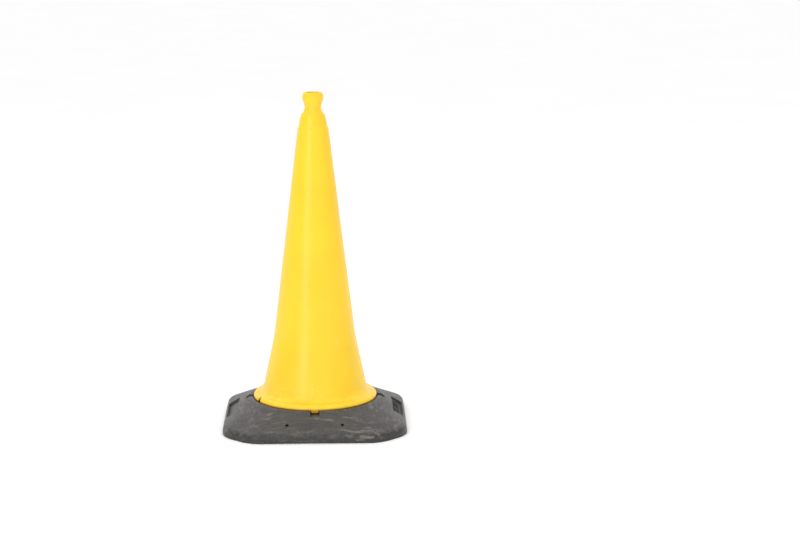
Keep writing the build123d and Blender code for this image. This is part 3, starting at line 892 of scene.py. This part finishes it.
def base_grid(settings):
    """The base's surface as rows x columns x 3."""
    half = BASE_HALF_WIDTH
    leg, corner = settings.corner_leg / MM, settings.corner_radius / MM
    skirt, skirt_round = settings.skirt / MM, settings.skirt_round / MM
    here, beside, there, before, share = base_columns()
    radius = np.full((sum(BASE_ROWS.values()), len(here)), RING_RADIUS)
    for _ in range(5):
        start = here + np.arcsin(beside / radius)
        end = there - np.arcsin(before / radius)
        azimuth = start * (1 - share) + end * share
        radius, level, spans = base_section(azimuth, half, leg, corner, skirt, skirt_round)
    start = here + np.arcsin(beside / radius)
    azimuth = start * (1 - share) + (there - np.arcsin(before / radius)) * share
    degrees = np.degrees(azimuth)

    # Entry slots: the ledge's inner edge steps back
    slot = 1 - smooth(np.abs(around(degrees, 0, 90)), SLOT_HALF_ANGLE - 0.3, SLOT_HALF_ANGLE + 0.3)
    for name in ("ledge", "seat_edge", "seat", "track_top"):
        rows = spans[name]
        back = SLOT_RADIUS + (radius[rows] - SEAT_RADIUS) * (TRACK_RADIUS - 0.5 - SLOT_RADIUS) / LEDGE_WIDTH
        radius[rows] += slot[rows] * (np.maximum(back, SLOT_RADIUS) - radius[rows])
    # Stop blocks fill the track
    block = 1 - smooth(np.abs(around(degrees, BLOCK_MIDDLE, 90)), BLOCK_HALF_ANGLE - 0.4, BLOCK_HALF_ANGLE)
    drop = LEDGE_UNDERSIDE - LUG_BOTTOM
    level[spans["track_top"]] -= block[spans["track_top"]] * drop
    track = spans["track"]
    level[track] -= block[track] * drop * level[track] / LEDGE_UNDERSIDE
    seat = spans["seat"]
    level[seat] -= block[seat] * drop * np.linspace(0, 1, seat.stop - seat.start)[:, None]
    # Ribs cross the hollow underside
    aside = np.abs(radius * np.sin(around(degrees, 0, 360 / RIB_COUNT) * math.pi / 180))
    rib = 1 - smooth(aside, RIB_HALF_WIDTH - 0.4, RIB_HALF_WIDTH + 0.4)
    for name in ("pocket_in", "pocket_top", "pocket_slope", "pocket_out"):
        rows = spans[name]
        level[rows] *= 1 - rib[rows]
    rows = spans["pocket_in"]
    radius[rows] += rib[rows] * np.linspace(0, 1.2, rows.stop - rows.start)[:, None]
    rows = spans["pocket_out"]
    radius[rows] -= rib[rows] * np.linspace(0.9, 0, rows.stop - rows.start)[:, None]
    # Notches in the ring, one in the middle of each side
    side = np.abs(radius * np.sin(around(degrees, 0, 90) * math.pi / 180))
    notch = (1 - smooth(side, *RING_NOTCH_EDGE)) * (radius > LEDGE_RADIUS + 0.5) * (radius < RING_NOTCH_END)
    level -= notch * np.maximum(level - CHANNEL_FLOOR, 0)
    rows = slice(spans["channel_edge"].start, spans["channel_toe"].stop)
    evened = np.linspace(CHANNEL_RADIUS + 1, CHANNEL_RADIUS - 1, rows.stop - rows.start + 1)[:-1, None]
    radius[rows] += notch[rows] * (evened - radius[rows])

    x, y = radius * np.cos(azimuth), radius * np.sin(azimuth)
    arch = ARCH_HEIGHT * np.maximum(1 - (np.minimum(np.abs(x), np.abs(y)) / ARCH_HALF_SPAN) ** 2, 0)
    level = level + arch * (1 - smooth(level, 0, ARCH_FADES_AT))
    points = press_details(np.stack([x, y, level], axis=-1), half, skirt)
    return points, spans


def dent(piece, depth, spans, columns):
    """Lets the skirt and slopes sag inwards unevenly, as moulded rubber does."""
    points = np.zeros(len(piece.data.vertices) * 3)
    normals = np.zeros_like(points)
    piece.data.vertices.foreach_get("co", points)
    piece.data.vertex_normals.foreach_get("vector", normals)
    points, normals = points.reshape(-1, columns, 3), normals.reshape(-1, columns, 3)
    first, last = spans["skirt"].start, spans["slope"].stop
    strip = points[first:last]
    lumps = 0.5 * wander(strip, 0.085, 3) + 0.3 * wander(strip, 0.034, 4) + 0.2 * wander(strip, 0.014, 5)
    inward = depth * (0.5 + 0.9 * lumps)
    count = last - first
    rows = np.arange(count)[:, None]
    inward = np.maximum(inward, 0) * smooth(rows, 0, 5) * (1 - smooth(rows, count - 9, count - 1))
    strip -= normals[first:last] * inward[..., None]
    piece.data.vertices.foreach_set("co", points.ravel())
    piece.data.update()


# ---------------------------------------------------------------- operators
class MakeConeBody(bpy.types.Operator):
    """Makes the yellow body: grip, tapers, bell foot, flange with its lip and tabs, spigot and lugs."""

    bl_idname = "cone.make_body"
    bl_label = "Cone body"

    def execute(self, context):
        settings = context.scene.cone_body
        grid = body_grid(settings.wall / MM, settings.lip / MM, settings.columns, settings.waviness / MM)
        piece = tube_mesh("Cone_body", grid, upwards=False)
        sharpen(piece, 40)
        piece.data.materials.append(moulded_polyethylene(tuple(settings.yellow)))
        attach(piece, "cone")
        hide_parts("cone_body")
        return {"FINISHED"}


class MakeConeBase(bpy.types.Operator):
    """Makes the base: skirt, slopes with their recesses and holes, ring, seat and ribbed underside."""

    bl_idname = "cone.make_base"
    bl_label = "Cone base"

    def execute(self, context):
        settings = context.scene.cone_base
        grid, spans = base_grid(settings)
        piece = tube_mesh("Cone_base", grid, upwards=True)
        dent(piece, settings.waviness, spans, grid.shape[1])
        sharpen(piece, 40)
        piece.data.materials.append(recycled_rubber(tuple(settings.grey)))
        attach(piece, "base")
        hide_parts("base")
        return {"FINISHED"}


class MakeConeStage(bpy.types.Operator):
    """Makes the white floor, the soft lights and the camera."""

    bl_idname = "cone.make_stage"
    bl_label = "Stage"

    def execute(self, context):
        settings = context.scene.cone_stage
        scene = context.scene
        floor = disc("Floor", 40.0, 96)
        floor.data.materials.append(studio_paper())

        soft_light("Key", (-1.7, -3.2, 1.2), (0, 0, 0.38), (0.5, 2.6), 24)
        soft_light("Overhead", (-0.3, 0.5, 3.4), (0, 0, 0.2), (3.4, 3.0), 22)
        soft_light("Fill", (2.9, -2.4, 1.5), (0, 0, 0.35), (1.6, 2.4), 2)

        scene.world = white_studio()
        scene.view_settings.view_transform = "Standard"

        camera = bpy.data.objects.new("Camera", bpy.data.cameras.new("Camera"))
        scene.collection.objects.link(camera)
        camera.data.sensor_width = 36.0
        camera.data.lens = settings.lens
        camera.data.clip_end = 200.0
        place = Vector((settings.aside, -settings.distance, settings.height))
        camera.location = Matrix.Rotation(settings.turn, 3, "Z") @ place
        camera.rotation_euler = (QUARTER - settings.pitch, 0, settings.turn)
        scene.camera = camera
        return {"FINISHED"}


def disc(name, radius, count):
    """A flat disc on the ground, facing up, finer towards its middle."""
    verts = [(0.0, 0.0, 0.0)]
    faces = []
    rings = [radius / 64, radius / 16, radius / 4, radius]
    for ring in rings:
        angles = [TURN * i / count for i in range(count)]
        verts += [(ring * math.cos(angle), ring * math.sin(angle), 0) for angle in angles]
    for i in range(count):
        faces.append((0, 1 + i, 1 + (i + 1) % count))
        for j in range(len(rings) - 1):
            a, b = 1 + j * count, 1 + (j + 1) * count
            faces.append((a + i, b + i, b + (i + 1) % count, a + (i + 1) % count))
    mesh = bpy.data.meshes.new(name)
    mesh.from_pydata(verts, [], faces)
    piece = bpy.data.objects.new(name, mesh)
    bpy.context.scene.collection.objects.link(piece)
    return piece


def soft_light(name, place, target, size, power):
    """A rectangular soft light at place that faces target and that no camera sees."""
    light = bpy.data.lights.new(name, "AREA")
    light.shape = "RECTANGLE"
    light.size, light.size_y = size
    light.energy = power
    lamp = bpy.data.objects.new(name, light)
    bpy.context.scene.collection.objects.link(lamp)
    lamp.location = place
    lamp.rotation_euler = (Vector(target) - Vector(place)).to_track_quat("-Z", "Y").to_euler()
    lamp.visible_camera = False
    return lamp


class ConePanel(bpy.types.Panel):
    """Lists the settings and the operators that make each piece."""

    bl_idname = "VIEW3D_PT_cone"
    bl_label = "Traffic cone"
    bl_space_type = "VIEW_3D"
    bl_region_type = "UI"
    bl_category = "Cone"

    def draw(self, context):
        for group, operator in PARTS:
            box = self.layout.box()
            settings = getattr(context.scene, group)
            for name in type(settings).__annotations__:
                box.prop(settings, name)
            box.operator(operator.bl_idname)


PARTS = (("cone_body", MakeConeBody), ("cone_base", MakeConeBase), ("cone_stage", MakeConeStage))
GROUPS = {"cone_body": ConeBodySettings, "cone_base": ConeBaseSettings, "cone_stage": ConeStageSettings}
CLASSES = (*GROUPS.values(), MakeConeBody, MakeConeBase, MakeConeStage, ConePanel)


def register():
    for each in CLASSES:
        bpy.utils.register_class(each)
    for name, group in GROUPS.items():
        setattr(bpy.types.Scene, name, PointerProperty(type=group))


def unregister():
    for name in GROUPS:
        delattr(bpy.types.Scene, name)
    for each in reversed(CLASSES):
        bpy.utils.unregister_class(each)


def main():
    register()
    bpy.ops.cone.make_body()
    bpy.ops.cone.make_base()
    bpy.ops.cone.make_stage()


if __name__ == "__main__":
    main()
